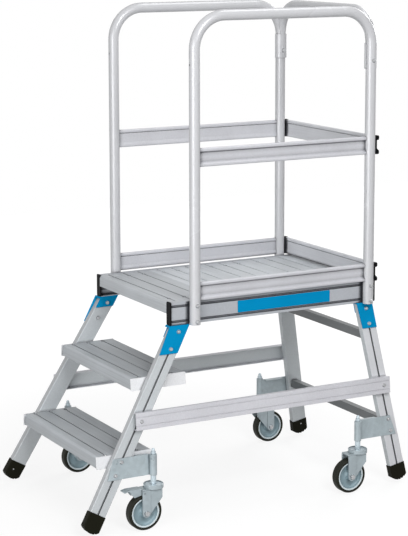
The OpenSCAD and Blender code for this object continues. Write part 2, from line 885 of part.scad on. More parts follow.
module rear_rail(z) {
  color("gainsboro") placed() translate([-rear_rail_half, rear_rail_y, z])
    across(2*rear_rail_half) rail_section();
}

module end_caps() {
  color([0.08, 0.08, 0.08]) placed() {
    for (s = [-1, 1], y = [beam_front - cap_t, beam_rear]) handed(s)
      translate([plank_x, y + cap_t, beam_z]) rotate([90, 0, 0])
        linear_extrude(cap_t) rounded(beam_w + cap_over, beam_h + cap_over, cap_r);
    for (s = [-1, 1], z = [knee_z, toe_z]) handed(s) translate([rear_rail_half, rear_rail_y, z]) {
      across(rail_cap_t) rail_outline(rail_cap_t);
      translate([rail_cap_t - rail_cap_l, 0, 0]) across(rail_cap_l - rail_cap_t) difference() {
        rail_outline(rail_cap_t);
        rail_outline(0);
      }
    }
  }
}

module frame_bolts() {
  color("silver") placed() for (s = [-1, 1]) {
    for (f = [-1, 1]) side(s) for (b = leg_bolts(s, f))
      translate([b[1], leg_mid(f, b[0]), b[0]]) bolt(b[1] + b[2]);
    handed(s) {
      for (y = [-post_y, post_y], v = POST_BOLTS)
        translate([post_x + tube_r, y, beam_z + v]) bolt(post_grip);
      translate([post_x + tube_r, post_y, saddle_screw_z]) bolt(saddle_grip);
    }
  }
}

// Castors

// Outline of a castor plate from the swivel axis to its slanted end, in Y and height up the slope
module plate_outline(f) {
  end = castor_y(f) + (f < 0 ? -front_plate_l : rear_plate_l);
  top = slope_z(plate_top);
  low = slope_z(tube_low);
  polygon([[castor_y(f), low], [end + f*plate_slant, low], [end, top], [castor_y(f), top]]);
}

module castor_bracket(k) {
  s = side_of(k);
  f = end_of(k);
  flange_l = f < 0 ? front_flange_l : rear_flange_l;
  start = castor_y(f) + (f < 0 ? -flange_l - guide_tube_d/2 : guide_tube_d/2);
  color("lightsteelblue") placed() difference() {
    union() {
      side(s) difference() {
        union() {
          across(plate_t) plate_outline(f);
          for (z = [slope_z(tube_low), slope_z(plate_top) - plate_t])
            translate([-flange_d, start, z]) cube([flange_d + plate_t, flange_l, plate_t]);
        }
        leg_holes(s, f);
      }
      translate([s*castor_x, castor_y(f), tube_low]) cylinder(h = guide_l, d = guide_tube_d);
    }
    translate([s*castor_x, castor_y(f), tube_low - overrun])
      cylinder(h = guide_l - guide_end_t + overrun, d = stem_d + 2*slide_gap);
    translate([s*castor_x, castor_y(f), tube_low]) cylinder(h = 2*guide_l, d = rod_d + 2*slide_gap);
  }
}

// Helical spring swept as one tube round the guide rod
spring_steps = 8;
spring_sides = 6;
spring_rings = spring_turns*spring_steps;
spring_r = stem_d/2 - wire_d/2 - slide_gap;
spring_low = stem_top + wire_d/2 + fit_gap;
spring_high = guide_top - guide_end_t - wire_d/2 - fit_gap;
function spring_point(i, j) =
  let(a = 360*i/spring_steps, b = 360*j/spring_sides, r = spring_r + wire_d/2*cos(b))
  [r*cos(a), r*sin(a), spring_low + (spring_high - spring_low)*i/spring_rings + wire_d/2*sin(b)];
function spring_face(i, j) = let(a = i*spring_sides + j, b = i*spring_sides + (j + 1) % spring_sides)
  [[a, b, b + spring_sides], [a, b + spring_sides, a + spring_sides]];

// Least gap between neighbouring turns, measured on the points
spring_gap = min([for (i = [0:spring_steps - 1], j = [0:spring_sides - 1], l = [0:spring_sides - 1])
  norm(spring_point(i, j) - spring_point(i + spring_steps, l))]);
echo(spring_gap = spring_gap);

module castor_spring(k) {
  points = [for (i = [0:spring_rings], j = [0:spring_sides - 1]) spring_point(i, j)];
  skin = [for (i = [0:spring_rings - 1], j = [0:spring_sides - 1], t = spring_face(i, j)) t];
  last = spring_rings*spring_sides;
  start = [for (j = [1:spring_sides - 2]) [0, j + 1, j]];
  end = [for (j = [1:spring_sides - 2]) [last, last + j, last + j + 1]];
  color("dimgrey") castor(k) polyhedron(points, concat(skin, start, end));
}

module castor_stem(k) {
  color("lightsteelblue") castor(k) {
    translate([0, 0, race_z + turn_gap]) cylinder(h = race_t, d = head_d - 2*head_wall - 4*turn_gap);
    translate([0, 0, race_z + turn_gap]) cylinder(h = stem_top - race_z - turn_gap, d = stem_d);
    translate([0, 0, stem_top - overrun])
      cylinder(h = guide_top + lock_nut_h - stem_top + overrun, d = rod_d);
    translate([0, 0, guide_top + fit_gap]) cylinder(h = lock_nut_h, d = lock_nut_d, $fn = hex);
    translate([0, 0, guide_top + lock_nut_h]) cylinder(h = dome_h, d = dome_d);
    translate([0, 0, guide_top + lock_nut_h + dome_h]) sphere(d = dome_d);
    translate([0, 0, crown_z - turn_gap - rivet_t]) cylinder(h = rivet_t, d = rivet_d);
    translate([0, 0, crown_z - turn_gap - rivet_t])
      cylinder(h = race_z + 2*turn_gap - crown_z + rivet_t, d = king_d);
  }
}

// Outline of a fork plate, in Y and Z
module fork_outline() {
  back = -trail - fork_eye_r;
  eye = [-trail + fork_eye_r*cos(fork_rake), axle_z - fork_eye_r*sin(fork_rake)];
  polygon([[back, axle_z], eye, [fork_lead, fork_knee_z], [fork_lead, crown_z + crown_t],
    [back, crown_z + crown_t]]);
  translate([-trail, axle_z]) circle(fork_eye_r);
}

// Half section of the swivel head: x out from the king pin, y up
module head_section() {
  r = head_d/2;
  polygon([[king_d/2, crown_z], [r - head_bevel, crown_z], [r, crown_z + head_bevel],
    [r, head_z - head_bevel/2], [r - head_bevel/2, head_z], [r - head_wall, head_z],
    [r - head_wall, race_z], [king_d/2, race_z]]);
}

module castor_fork(k) {
  back = -trail - fork_eye_r;
  color("lightsteelblue") castor(k) difference() {
    union() {
      for (m = [0, 1]) mirror([m, 0, 0]) translate([fork_x, 0, 0]) {
        across(fork_t) fork_outline();
        across(fork_t + fork_step) intersection() {
          fork_outline();
          translate([back, 0]) square([fork_strip_w, crown_z]);
        }
      }
      translate([-fork_x - fork_t, back, crown_z]) cube([fork_in + 2*fork_t, fork_lead - back, crown_t]);
      rotate_extrude() head_section();
    }
    translate([0, 0, crown_z - overrun]) cylinder(h = head_z, d = king_d + 2*turn_gap);
    translate([0, -trail, axle_z]) rotate([0, 90, 0])
      cylinder(h = 2*fork_in, d = axle_d + 2*bolt_gap, center = true);
    if (end_of(k) < 0) translate([0, -pivot_y, pivot_z]) rotate([0, 90, 0])
      cylinder(h = 2*fork_in, d = pivot_d + 2*turn_gap, center = true);
  }
}

module castor_axle(k) {
  seat = fork_x + fork_t + fork_step;
  color("silver") castor(k) translate([0, -trail, axle_z]) rotate([0, 90, 0]) {
    translate([0, 0, -seat - nut_h]) cylinder(h = 2*(seat + nut_h), d = axle_d);
    translate([0, 0, seat + fit_gap]) cylinder(h = nut_h, d = lock_nut_d, $fn = hex);
    translate([0, 0, -seat - fit_gap - nut_h]) cylinder(h = nut_h, d = lock_nut_d, $fn = hex);
    for (m = [0, 1]) mirror([0, 0, m]) translate([0, 0, hub_w/2 + turn_gap])
      cylinder(h = fork_x - hub_w/2 - turn_gap - fit_gap, d = spacer_d);
  }
}

// A round wheel piece from its half section: x out from the axle, y along it
module wheel_piece(k) {
  castor(k) translate([0, -trail, axle_z]) rotate([0, 90, 0]) rotate_extrude() children();
}

module castor_wheel(k) {
  bore = axle_d/2 + turn_gap;
  color("lightblue") wheel_piece(k) {
    translate([bore, -hub_w/2]) square([hub_d/2 - bore, hub_w]);
    difference() {
      translate([bore, -rim_w/2]) square([rim_r - bore, rim_w]);
      for (m = [0, 1]) mirror([0, m]) translate([hub_d/2, disc_t/2])
        rounded(rim_r - rim_t - hub_d/2, rim_w, bowl_r);
    }
  }
}

module castor_tyre(k) {
  color([0.12, 0.12, 0.1]) wheel_piece(k) {
    translate([rim_r, -wheel_w/2]) square([tyre_deep - tyre_r, wheel_w]);
    translate([rim_r, tyre_r - wheel_w/2]) square([tyre_deep, wheel_w - 2*tyre_r]);
    for (v = [tyre_r - wheel_w/2, wheel_w/2 - tyre_r])
      translate([rim_r + tyre_deep - tyre_r, v]) circle(tyre_r);
  }
}

// Side view of the pedal's folded plate and cheeks, in Y and Z
module pedal_outline() {
  back = -trail - fork_eye_r - overrun;
  cheek = -pivot_y + pivot_d;
  polygon([[back, pedal_z], [-pedal_reach + pedal_w/2, pedal_z], [-pedal_reach, pedal_z - pedal_tip_drop],
    [-pedal_reach, pedal_z - pedal_tip_drop - pedal_t], [-pedal_reach + pedal_w/2, pedal_z - pedal_t],
    [-shoe_y - pedal_w/2, pedal_z - 2*pedal_t], [-shoe_y - pivot_d, axle_z + shoe_z + pivot_d],
    [-shoe_y, axle_z + shoe_z], [back, pivot_z - pivot_d], [cheek, pivot_z - pivot_d/2],
    [cheek, pivot_z + pivot_d], [back, pivot_z + pivot_d]]);
}

// Brake pedal: a foot plate folded down into two cheeks, with a shoe between them, on a pin in the fork
module brake_pedal(k) {
  color("lightsteelblue") castor(k) {
    difference() {
      translate([-pedal_w/2, 0, 0]) across(pedal_w) pedal_outline();
      translate([pedal_t - pedal_w/2, -shoe_y - pedal_w/2, 0])
        cube([pedal_w - 2*pedal_t, pedal_reach, pedal_z - pedal_t]);
    }
    translate([-pedal_w/2, -shoe_y, axle_z + shoe_z + pivot_d]) rotate([0, 90, 0])
      cylinder(h = pedal_w, d = pivot_d);
    translate([-fork_x - fork_t, -pivot_y, pivot_z]) rotate([0, 90, 0])
      cylinder(h = fork_in + 2*fork_t, d = pivot_d);
  }
}

deck_nosing();
deck_planks();
platform_beam(-1);  // platform_beam_left
platform_beam(1);  // platform_beam_right
leg(-1, -1);  // front_leg_left
leg(1, -1);  // front_leg_right
leg(-1, 1);  // rear_leg_left
leg(1, 1);  // rear_leg_right
front_leg_brackets();
rear_leg_brackets();
front_feet();
rear_feet();
lower_tread();
upper_tread();
tread_end_plates();
side_brace(-1);  // side_brace_left
side_brace(1);  // side_brace_right
rear_brace_upper();
rear_brace_lower();
guard_hoop(-1);  // guard_hoop_left
guard_hoop(1);  // guard_hoop_right
rear_top_rail();
side_rail(-1, knee_z);  // knee_rail_left
side_rail(1, knee_z);  // knee_rail_right
rear_rail(knee_z);  // knee_rail_rear
side_rail(-1, toe_z);  // toe_board_left
side_rail(1, toe_z);  // toe_board_right
rear_rail(toe_z);  // toe_board_rear
end_caps();
frame_bolts();
castor_bracket(0);  // castor_bracket_front_left
castor_bracket(1);  // castor_bracket_front_right
castor_bracket(2);  // castor_bracket_rear_left
castor_bracket(3);  // castor_bracket_rear_right
castor_spring(0);  // castor_spring_front_left
castor_spring(1);  // castor_spring_front_right
castor_spring(2);  // castor_spring_rear_left
castor_spring(3);  // castor_spring_rear_right
castor_stem(0);  // castor_stem_front_left
castor_stem(1);  // castor_stem_front_right
castor_stem(2);  // castor_stem_rear_left
castor_stem(3);  // castor_stem_rear_right
castor_fork(0);  // castor_fork_front_left
castor_fork(1);  // castor_fork_front_right
castor_fork(2);  // castor_fork_rear_left
castor_fork(3);  // castor_fork_rear_right
castor_axle(0);  // castor_axle_front_left
castor_axle(1);  // castor_axle_front_right
castor_axle(2);  // castor_axle_rear_left
castor_axle(3);  // castor_axle_rear_right
castor_wheel(0);  // castor_wheel_front_left
castor_wheel(1);  // castor_wheel_front_right
castor_wheel(2);  // castor_wheel_rear_left
castor_wheel(3);  // castor_wheel_rear_right
castor_tyre(0);  // castor_tyre_front_left
castor_tyre(1);  // castor_tyre_front_right
castor_tyre(2);  // castor_tyre_rear_left
castor_tyre(3);  // castor_tyre_rear_right
brake_pedal(0);  // brake_pedal_left
brake_pedal(1);  // brake_pedal_right
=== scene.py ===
import math

import bmesh
import bpy
from mathutils import Matrix, Vector


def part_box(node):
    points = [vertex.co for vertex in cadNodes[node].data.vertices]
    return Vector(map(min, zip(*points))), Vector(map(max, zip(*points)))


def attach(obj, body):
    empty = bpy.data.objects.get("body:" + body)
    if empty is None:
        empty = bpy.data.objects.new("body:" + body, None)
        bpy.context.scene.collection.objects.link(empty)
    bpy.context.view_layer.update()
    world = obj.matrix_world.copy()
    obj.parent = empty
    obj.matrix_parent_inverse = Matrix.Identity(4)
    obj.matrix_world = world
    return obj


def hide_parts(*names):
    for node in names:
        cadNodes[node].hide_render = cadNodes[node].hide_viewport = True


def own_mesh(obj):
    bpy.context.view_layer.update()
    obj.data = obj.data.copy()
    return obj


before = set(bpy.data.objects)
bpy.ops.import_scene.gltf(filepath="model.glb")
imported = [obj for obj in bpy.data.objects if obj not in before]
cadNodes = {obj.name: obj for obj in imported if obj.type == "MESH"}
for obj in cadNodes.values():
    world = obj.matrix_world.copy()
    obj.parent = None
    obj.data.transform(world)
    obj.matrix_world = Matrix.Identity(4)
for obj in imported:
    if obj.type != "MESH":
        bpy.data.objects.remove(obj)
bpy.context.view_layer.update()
corners = ("front_left", "front_right", "rear_left", "rear_right")
white = (1, 1, 1, 1)
quarter = math.pi / 2
print("frame loaded:", len(cadNodes), "nodes")


def addNode(tree, kind, values=None, **settings):
    node = tree.nodes.new("ShaderNode" + kind)
    for key, value in settings.items():
        setattr(node, key, value)
    for key, value in (values or {}).items():
        node.inputs[key].default_value = value
    return node


def combine(tree, how, a, b):
    node = addNode(tree, "Math", operation=how)
    for slot, value in enumerate((a, b)):
        if isinstance(value, (int, float)):
            node.inputs[slot].default_value = value
        else:
            tree.links.new(value, node.inputs[slot])
    return node.outputs[0]


def spread(tree, value, low, high, fromLow=0.0, fromHigh=1.0):
    limits = {"From Min": fromLow, "From Max": fromHigh, "To Min": low, "To Max": high}
    ranged = addNode(tree, "MapRange", limits)
    tree.links.new(value, ranged.inputs["Value"])
    return ranged.outputs["Result"]


cameraSetup = {
    "place": (5.58101, -3.05780, 2.05131),
    "azimuth": 61.279,
    "pitch": 9.054,
    "roll": -0.110,
    "focalPixels": 1775.74,
    "frameSize": (408, 536),
    "centre": (204, 207),  # where the optical axis meets the picture
    "sensorWidth": 36,
    "clipEnd": 60,
}


def makeCamera(setup):
    wide, high = setup["frameSize"]
    longSide = max(wide, high)
    turn, tilt, roll = (math.radians(setup[key]) for key in ("azimuth", "pitch", "roll"))
    cosTilt, cosRoll, sinRoll = math.cos(tilt), math.cos(roll), math.sin(roll)
    ahead = Vector((-math.sin(turn) * cosTilt, math.cos(turn) * cosTilt, -math.sin(tilt)))
    right = Vector((math.cos(turn), math.sin(turn), 0))
    up = right.cross(ahead)
    right, up = right * cosRoll + up * sinRoll, up * cosRoll - right * sinRoll
    lens = bpy.data.cameras.new("photoCamera")
    lens.sensor_width = setup["sensorWidth"]
    lens.lens = setup["sensorWidth"] * setup["focalPixels"] / longSide
    lens.shift_x = (wide / 2 - setup["centre"][0]) / longSide
    lens.shift_y = (setup["centre"][1] - high / 2) / longSide
    lens.clip_end = setup["clipEnd"]
    camera = bpy.data.objects.new("photoCamera", lens)
    bpy.context.collection.objects.link(camera)
    facing = Matrix((right, up, -ahead)).transposed().to_4x4()
    camera.matrix_world = Matrix.Translation(setup["place"]) @ facing
    bpy.context.scene.camera = camera


studio = {
    "ambient": 0.19,
    "backdrop": 1.0,  # the white behind the object, as the camera and the gloss see it
    "floorHalf": 6.0,
    "floorTone": 0.90,
    "bounceTone": 0.15,  # the floor as the object's undersides see it
    "glow": 1.06,
    "shadowShare": 0.20,  # how much of the floor's white a shadow can take
    "shadowReach": (0.9, 2.4),  # the floor fades to plain white between these distances
    "lamps": (  # name, place, aim, size, watts
        ("keySoftbox", (2.8, -4.0, 1.3), (0, 0, 0.9), (3.4, 2.4), 150),
        ("sideSoftbox", (4.6, -0.4, 3.7), (0, 0, 0.8), (2.0, 2.0), 150),
        ("topSoftbox", (0.3, 1.7, 4.8), (0, 0, 0.8), (2.0, 1.2), 42),
        ("backSoftbox", (-2.4, 4.5, 2.6), (0, 0, 0.8), (2.4, 2.4), 90),
    ),
}


def seenDirectly(tree):
    # 1 for rays that look at the background, also by reflection or through glass
    ray = addNode(tree, "LightPath")
    seen = combine(tree, "MAXIMUM", ray.outputs["Is Camera Ray"], ray.outputs["Is Glossy Ray"])
    return combine(tree, "MAXIMUM", seen, ray.outputs["Is Transmission Ray"])


def mixShaders(tree, share, first, second):
    both = addNode(tree, "MixShader")
    tree.links.new(share, both.inputs[0])
    tree.links.new(first.outputs[0], both.inputs[1])
    tree.links.new(second.outputs[0], both.inputs[2])
    return both


def makeAir(setup):
    world = bpy.data.worlds.new("studioAir")
    bpy.context.scene.world = world
    world.use_nodes = True
    tree = world.node_tree
    tree.nodes.clear()
    air = addNode(tree, "Background", {"Color": white, "Strength": setup["ambient"]})
    paper = addNode(tree, "Background", {"Color": white, "Strength": setup["backdrop"]})
    both = mixShaders(tree, seenDirectly(tree), air, paper)
    tree.links.new(both.outputs[0], addNode(tree, "OutputWorld").inputs[0])


def makeFloor(setup):
    bm = bmesh.new()
    bmesh.ops.create_grid(bm, x_segments=1, y_segments=1, size=setup["floorHalf"])
    mesh = bpy.data.meshes.new("studioFloor")
    bm.to_mesh(mesh)
    bm.free()
    floor = bpy.data.objects.new("studioFloor", mesh)
    bpy.context.collection.objects.link(floor)
    mat = bpy.data.materials.new("floorPaper")
    mat.use_nodes = True
    tree = mat.node_tree
    tree.nodes.clear()
    matt = addNode(tree, "BsdfDiffuse", {"Color": (setup["floorTone"],) * 3 + (1,)})
    bounce = addNode(tree, "BsdfDiffuse", {"Color": (setup["bounceTone"],) * 3 + (1,)})
    glow = addNode(tree, "Emission", {"Color": white, "Strength": setup["glow"]})
    where = addNode(tree, "TexCoord")
    far = addNode(tree, "VectorMath", operation="LENGTH")
    tree.links.new(where.outputs["Object"], far.inputs[0])
    near = 1 - setup["shadowShare"]
    fade = spread(tree, far.outputs["Value"], near, 1.0, *setup["shadowReach"])
    paper = mixShaders(tree, fade, matt, glow)
    both = mixShaders(tree, seenDirectly(tree), bounce, paper)
    tree.links.new(both.outputs[0], addNode(tree, "OutputMaterial").inputs[0])
    mesh.materials.append(mat)


def makeLamps(setup):
    for name, place, aim, size, watts in setup["lamps"]:
        lamp = bpy.data.lights.new(name, "AREA")
        lamp.shape = "RECTANGLE"
        lamp.size, lamp.size_y = size
        lamp.energy = watts
        holder = bpy.data.objects.new(name, lamp)
        holder.location = place
        holder.rotation_euler = (Vector(aim) - Vector(place)).to_track_quat("-Z", "Y").to_euler()
        bpy.context.collection.objects.link(holder)


bpy.context.scene.view_settings.view_transform = "Standard"
makeCamera(cameraSetup)
makeAir(studio)
makeFloor(studio)
makeLamps(studio)
print("camera and studio ready")


def startFinish(name):
    mat = bpy.data.materials.new(name)
    mat.use_nodes = True
    tree = mat.node_tree
    return mat, tree, tree.nodes["Principled BSDF"]


def placeOf(tree, scale=(1, 1, 1), turn=(0, 0, 0), shift=(0, 0, 0)):
    where = addNode(tree, "TexCoord")
    mapping = addNode(tree, "Mapping", {"Scale": scale, "Rotation": turn, "Location": shift})
    tree.links.new(where.outputs["Object"], mapping.inputs["Vector"])
    return mapping.outputs["Vector"]


noiseSpan = (0.3, 0.7)  # nearly all of a noise pattern lies between these values


def noiseAt(tree, vector, scale, detail=2.0, grain=0.55):
    noise = addNode(tree, "TexNoise", {"Scale": scale, "Detail": detail, "Roughness": grain})
    tree.links.new(vector, noise.inputs["Vector"])
    return noise.outputs["Fac"]


def tinted(tree, factor, tone, contrast):
    ramp = addNode(tree, "ValToRGB")
    for element, share in zip(ramp.color_ramp.elements, (1 - contrast, 1 + contrast)):
        element.color = (*(channel * share for channel in tone), 1)
    tree.links.new(factor, ramp.inputs["Fac"])
    return ramp.outputs["Color"]


def blended(tree, how, factor, first, second):
    mix = addNode(tree, "MixRGB", blend_type=how)
    tree.links.new(factor, mix.inputs["Fac"])
    for slot, value in (("Color1", first), ("Color2", second)):
        if isinstance(value, tuple):
            mix.inputs[slot].default_value = (*value, 1)
        else:
            tree.links.new(value, mix.inputs[slot])
    return mix.outputs["Color"]


edgeMaskSetting = {
    "samples": 4,
    "cosines": (0.70, 0.995),  # of the rounded normal's turn: where the wear and painted highlight are full, and where they end
}


def softEdges(tree, radius):
    # rounded normals at sharp edges, and a mask of those edges, where colour is lightened as wear and
    # painted highlight
    bevel = addNode(tree, "Bevel", {"Radius": radius}, samples=edgeMaskSetting["samples"])
    facing = addNode(tree, "NewGeometry")
    dot = addNode(tree, "VectorMath", operation="DOT_PRODUCT")
    tree.links.new(bevel.outputs["Normal"], dot.inputs[0])
    tree.links.new(facing.outputs["True Normal"], dot.inputs[1])
    return bevel.outputs["Normal"], spread(tree, dot.outputs["Value"], 1.0, 0.0, *edgeMaskSetting["cosines"])


faceTurn = (0.86, 0.95)  # cosines between which a face comes to count as looking one way


def facesToward(tree, direction):
    # 1 on the faces of a profile that look this way
    where = addNode(tree, "TexCoord")
    dot = addNode(tree, "VectorMath", {1: Vector(direction).normalized()}, operation="DOT_PRODUCT")
    tree.links.new(where.outputs["Normal"], dot.inputs[0])
    return spread(tree, dot.outputs["Value"], 0.0, 1.0, *faceTurn)


# the dark colour of the painted shade in hollows
hollowShade = {"samples": 8, "tone": (0.10, 0.10, 0.11)}


def paintedShaded(tree, colour, look):
    # painted shade in grooves, corners, under lips and between parts, darkest where ambient occlusion is
    # strongest
    corner = addNode(tree, "AmbientOcclusion", {"Distance": look["paintedShadeReach"]}, samples=hollowShade["samples"])
    shadeMask = spread(tree, corner.outputs["AO"], 0.0, look["paintedShade"], *look["paintedShadeFrom"])
    return blended(tree, "MULTIPLY", shadeMask, colour, hollowShade["tone"])


def hazed(tree, clouds, look):
    # roughness that wanders with the clouds
    low, high = (look["rough"] + step for step in look["haze"])
    return spread(tree, clouds, low, high, *noiseSpan)


def bumped(tree, height, strength, distance, normal):
    bump = addNode(tree, "Bump", {"Strength": strength, "Distance": distance})
    tree.links.new(height, bump.inputs["Height"])
    tree.links.new(normal, bump.inputs["Normal"])
    return bump.outputs["Normal"]


alloy = {
    "dieLines": (1.4, 280, 280), "lineDetail": 4.0, "lineGrain": 0.6, "streaks": 0.6,
    "rubs": (22, 900, 900), "rubDetail": 1.0, "scuff": 0.10, "scuffFrom": (0.60, 0.75),
    "cloudScale": 6.0, "patches": 0.4, "haze": (-0.055, 0.055),
    "contrast": 0.10, "paintedFaceContrast": 0.05, "rough": 0.40, "metal": 0.15, "shine": 0.30,
    # the edge setting lightens edges, partly wear and partly painted highlight
    "bump": 0.18, "bumpDeep": 0.0004, "edgeRadius": 0.0010, "rubbedEdgeHighlight": 0.40,
    # the next three settings paint shade into grooves, corners and under lips
    "paintedShadeReach": 0.012, "paintedShade": 0.85, "paintedShadeFrom": (0.85, 0.30),
}
treadAlloy = {
    **alloy, "dieLines": (1.6, 260, 260), "contrast": 0.16, "rough": 0.44, "bump": 0.30,
    "edgeRadius": 0.0040, "rubbedEdgeHighlight": 0.55, "paintedShade": 0.50,
    "ribPitch": 0.0042, "ribDeep": 0.0003, "ribStrength": 0.6,
}
# deck: a strong painted highlight along the plank edges
deckAlloy = {**treadAlloy, "paintedShade": 0.15, "rubbedEdgeHighlight": 0.90, "contrast": 0.22}
# rails: the strongest painted shade, for the dark lines under their lips
railAlloy = {**alloy, "paintedShadeReach": 0.018, "paintedShade": 1.0, "paintedShadeFrom": (0.95, 0.62)}
braceAlloy = {**alloy, "paintedShade": 0.40}
tubeAlloy = {
    **alloy, "dieLines": (1.5, 240, 240), "contrast": 0.04, "rough": 0.26, "bump": 0.03, "metal": 0.08,
    "haze": (-0.02, 0.02), "scuff": 0.03,
}
waveBand = math.pi / 10  # length of one band of a wave texture at scale 1


def ribbed(tree, look, normal):
    # fine flutes along X, one each pitch of Y
    wave = addNode(tree, "TexWave", {"Scale": waveBand / look["ribPitch"]}, bands_direction="Y")
    tree.links.new(placeOf(tree), wave.inputs["Vector"])
    return bumped(tree, wave.outputs["Fac"], look["ribStrength"], look["ribDeep"], normal)


def extrudedAlloy(name, look, tone, turn=(0, 0, 0), face=None):
    # die lines run along X of the turned pattern; face is a direction and a tone painted on the faces there,
    # as painted light and shade
    mat, tree, shader = startFinish(name)
    lines = noiseAt(tree, placeOf(tree, look["dieLines"], turn), 1.0, look["lineDetail"], look["lineGrain"])
    clouds = noiseAt(tree, placeOf(tree), look["cloudScale"])
    rub = noiseAt(tree, placeOf(tree, look["rubs"], turn), 1.0, look["rubDetail"])
    normal, edges = softEdges(tree, look["edgeRadius"])
    streaks = spread(tree, lines, 0.0, look["streaks"], *noiseSpan)
    patches = spread(tree, clouds, 0.0, look["patches"], *noiseSpan)
    # edges lightened, partly wear and partly painted highlight
    shine = combine(tree, "MULTIPLY", edges, look["rubbedEdgeHighlight"])
    toneWearAndHighlight = combine(tree, "ADD", combine(tree, "ADD", streaks, patches), shine)
    colour = tinted(tree, toneWearAndHighlight, tone, look["contrast"])
    # painted light and shade: faces that look one way get a tone of their own
    if face:
        direction, paintedFaceTone = face
        paintedFaceColour = tinted(tree, toneWearAndHighlight, paintedFaceTone, look["paintedFaceContrast"])
        colour = blended(tree, "MIX", facesToward(tree, direction), colour, paintedFaceColour)
    # the colour darkened by painted shade in hollows
    tree.links.new(paintedShaded(tree, colour, look), shader.inputs["Base Color"])
    scuff = spread(tree, rub, 0.0, look["scuff"], *look["scuffFrom"])
    rough = combine(tree, "ADD", hazed(tree, clouds, look), scuff)
    tree.links.new(rough, shader.inputs["Roughness"])
    if "ribPitch" in look:
        normal = ribbed(tree, look, normal)
    normal = bumped(tree, lines, look["bump"], look["bumpDeep"], normal)
    tree.links.new(normal, shader.inputs["Normal"])
    shader.inputs["Metallic"].default_value = look["metal"]
    shader.inputs["Specular IOR Level"].default_value = look["shine"]
    return mat


alongY = (0, 0, quarter)
upright = (0, quarter, 0)
outward = {"left": (-1, 0, 0), "right": (1, 0, 0)}
inward = {"left": (1, 0, 0), "right": (-1, 0, 0)}
tones = {
    "tread": (0.46, 0.487, 0.513),
    "deck": (0.60, 0.63, 0.66),
    "nosing": (0.50, 0.525, 0.55),
    "endPlate": (0.78, 0.79, 0.81),
    # a dark tone for the cross braces under the deck: painted shade
    "paintedShadeCrossBrace": (0.19, 0.20, 0.205),
    # a lighter tone for the rear rails than the side rails: painted light
    "paintedLightRearRail": (0.70, 0.71, 0.74),
    "sideRail": (0.59, 0.595, 0.63),
    "beam": (0.45, 0.47, 0.505),
    "guardTube": (0.57, 0.575, 0.595),
    "brace": (0.63, 0.63, 0.67),
    # a lighter tone for the inside faces of the side braces: painted light
    "paintedLightBraceChannel": (0.70, 0.74, 0.76),
}
# face is the tone painted on the faces that look one way, as painted light and shade
legs = {
    "front": {"lean": math.radians(30.0), "tone": (0.54, 0.57, 0.59), "face": (0.46, 0.475, 0.49)},
    "rear": {"lean": math.radians(-10.5), "tone": (0.59, 0.625, 0.645), "face": (0.66, 0.67, 0.695)},
}
treadFinish = extrudedAlloy("treadAlloy", treadAlloy, tones["tread"])
deckFinish = extrudedAlloy("deckAlloy", deckAlloy, tones["deck"])
nosingFinish = extrudedAlloy("nosingAlloy", treadAlloy, tones["nosing"])
endPlateFinish = extrudedAlloy("endPlateAlloy", alloy, tones["endPlate"], alongY)
# the cross braces darkened as painted shade
paintedShadeCrossFinish = extrudedAlloy("paintedShadeCrossBraceAlloy", alloy, tones["paintedShadeCrossBrace"])
# the rear rails lightened as painted light
paintedLightRearRailFinish = extrudedAlloy("paintedLightRearRailAlloy", railAlloy, tones["paintedLightRearRail"])
sideRailFinish = extrudedAlloy("sideRailAlloy", railAlloy, tones["sideRail"], alongY)
beamFinish = extrudedAlloy("beamAlloy", railAlloy, tones["beam"], alongY)
tubeFinish = extrudedAlloy("guardTubeAlloy", tubeAlloy, tones["guardTube"], upright)


def braceFinish(side):
    # the inside faces of the channel get a lighter tone: painted light
    channel = (inward[side], tones["paintedLightBraceChannel"])
    return extrudedAlloy("braceAlloy_" + side, braceAlloy, tones["brace"], alongY, channel)


def legFinish(end, side):
    # the front faces of the front legs and the outer faces of the rear legs get a tone of their own: painted
    # light and shade by which way a face looks
    leg = legs[end]
    lean = leg["lean"]
    direction = (0, -math.cos(lean), math.sin(lean)) if end == "front" else outward[side]
    name = end + "_leg_" + side + "Alloy"
    return extrudedAlloy(name, alloy, leg["tone"], (lean, quarter, 0), (direction, leg["face"]))


print("alloy finishes mixed")


coat = {
    "peelScale": 600.0, "cloudScale": 9.0, "patches": (0.15, 0.75), "haze": (-0.04, 0.05),
    "contrast": 0.12, "edgeRadius": 0.0010, "rubbedEdgeHighlight": 0.35, "bumpDeep": 0.0003,
}
blueCoat = {
    **coat, "tone": (0.001, 0.275, 0.56), "rough": 0.42, "bump": 0.12, "shine": 0.04, "contrast": 0.06,
}
footRubber = {
    **coat, "tone": (0.009, 0.009, 0.005), "rough": 0.55, "bump": 0.30, "shine": 0.06, "edgeRadius": 0.0018,
}
capPlastic = {**coat, "tone": (0.006, 0.006, 0.007), "rough": 0.42, "bump": 0.18, "shine": 0.04}
tyreRubber = {**coat, "tone": (0.021, 0.022, 0.017), "rough": 0.50, "bump": 0.20, "shine": 0.10}


def mouldedCoat(name, look):
    mat, tree, shader = startFinish(name)
    peel = noiseAt(tree, placeOf(tree), look["peelScale"])
    clouds = noiseAt(tree, placeOf(tree), look["cloudScale"])
    normal, edges = softEdges(tree, look["edgeRadius"])
    patches = spread(tree, clouds, *look["patches"], *noiseSpan)
    # edges lightened, partly wear and partly painted highlight
    tone = combine(tree, "ADD", patches, combine(tree, "MULTIPLY", edges, look["rubbedEdgeHighlight"]))
    tree.links.new(tinted(tree, tone, look["tone"], look["contrast"]), shader.inputs["Base Color"])
    tree.links.new(hazed(tree, clouds, look), shader.inputs["Roughness"])
    normal = bumped(tree, peel, look["bump"], look["bumpDeep"], normal)
    tree.links.new(normal, shader.inputs["Normal"])
    shader.inputs["Specular IOR Level"].default_value = look["shine"]
    return mat


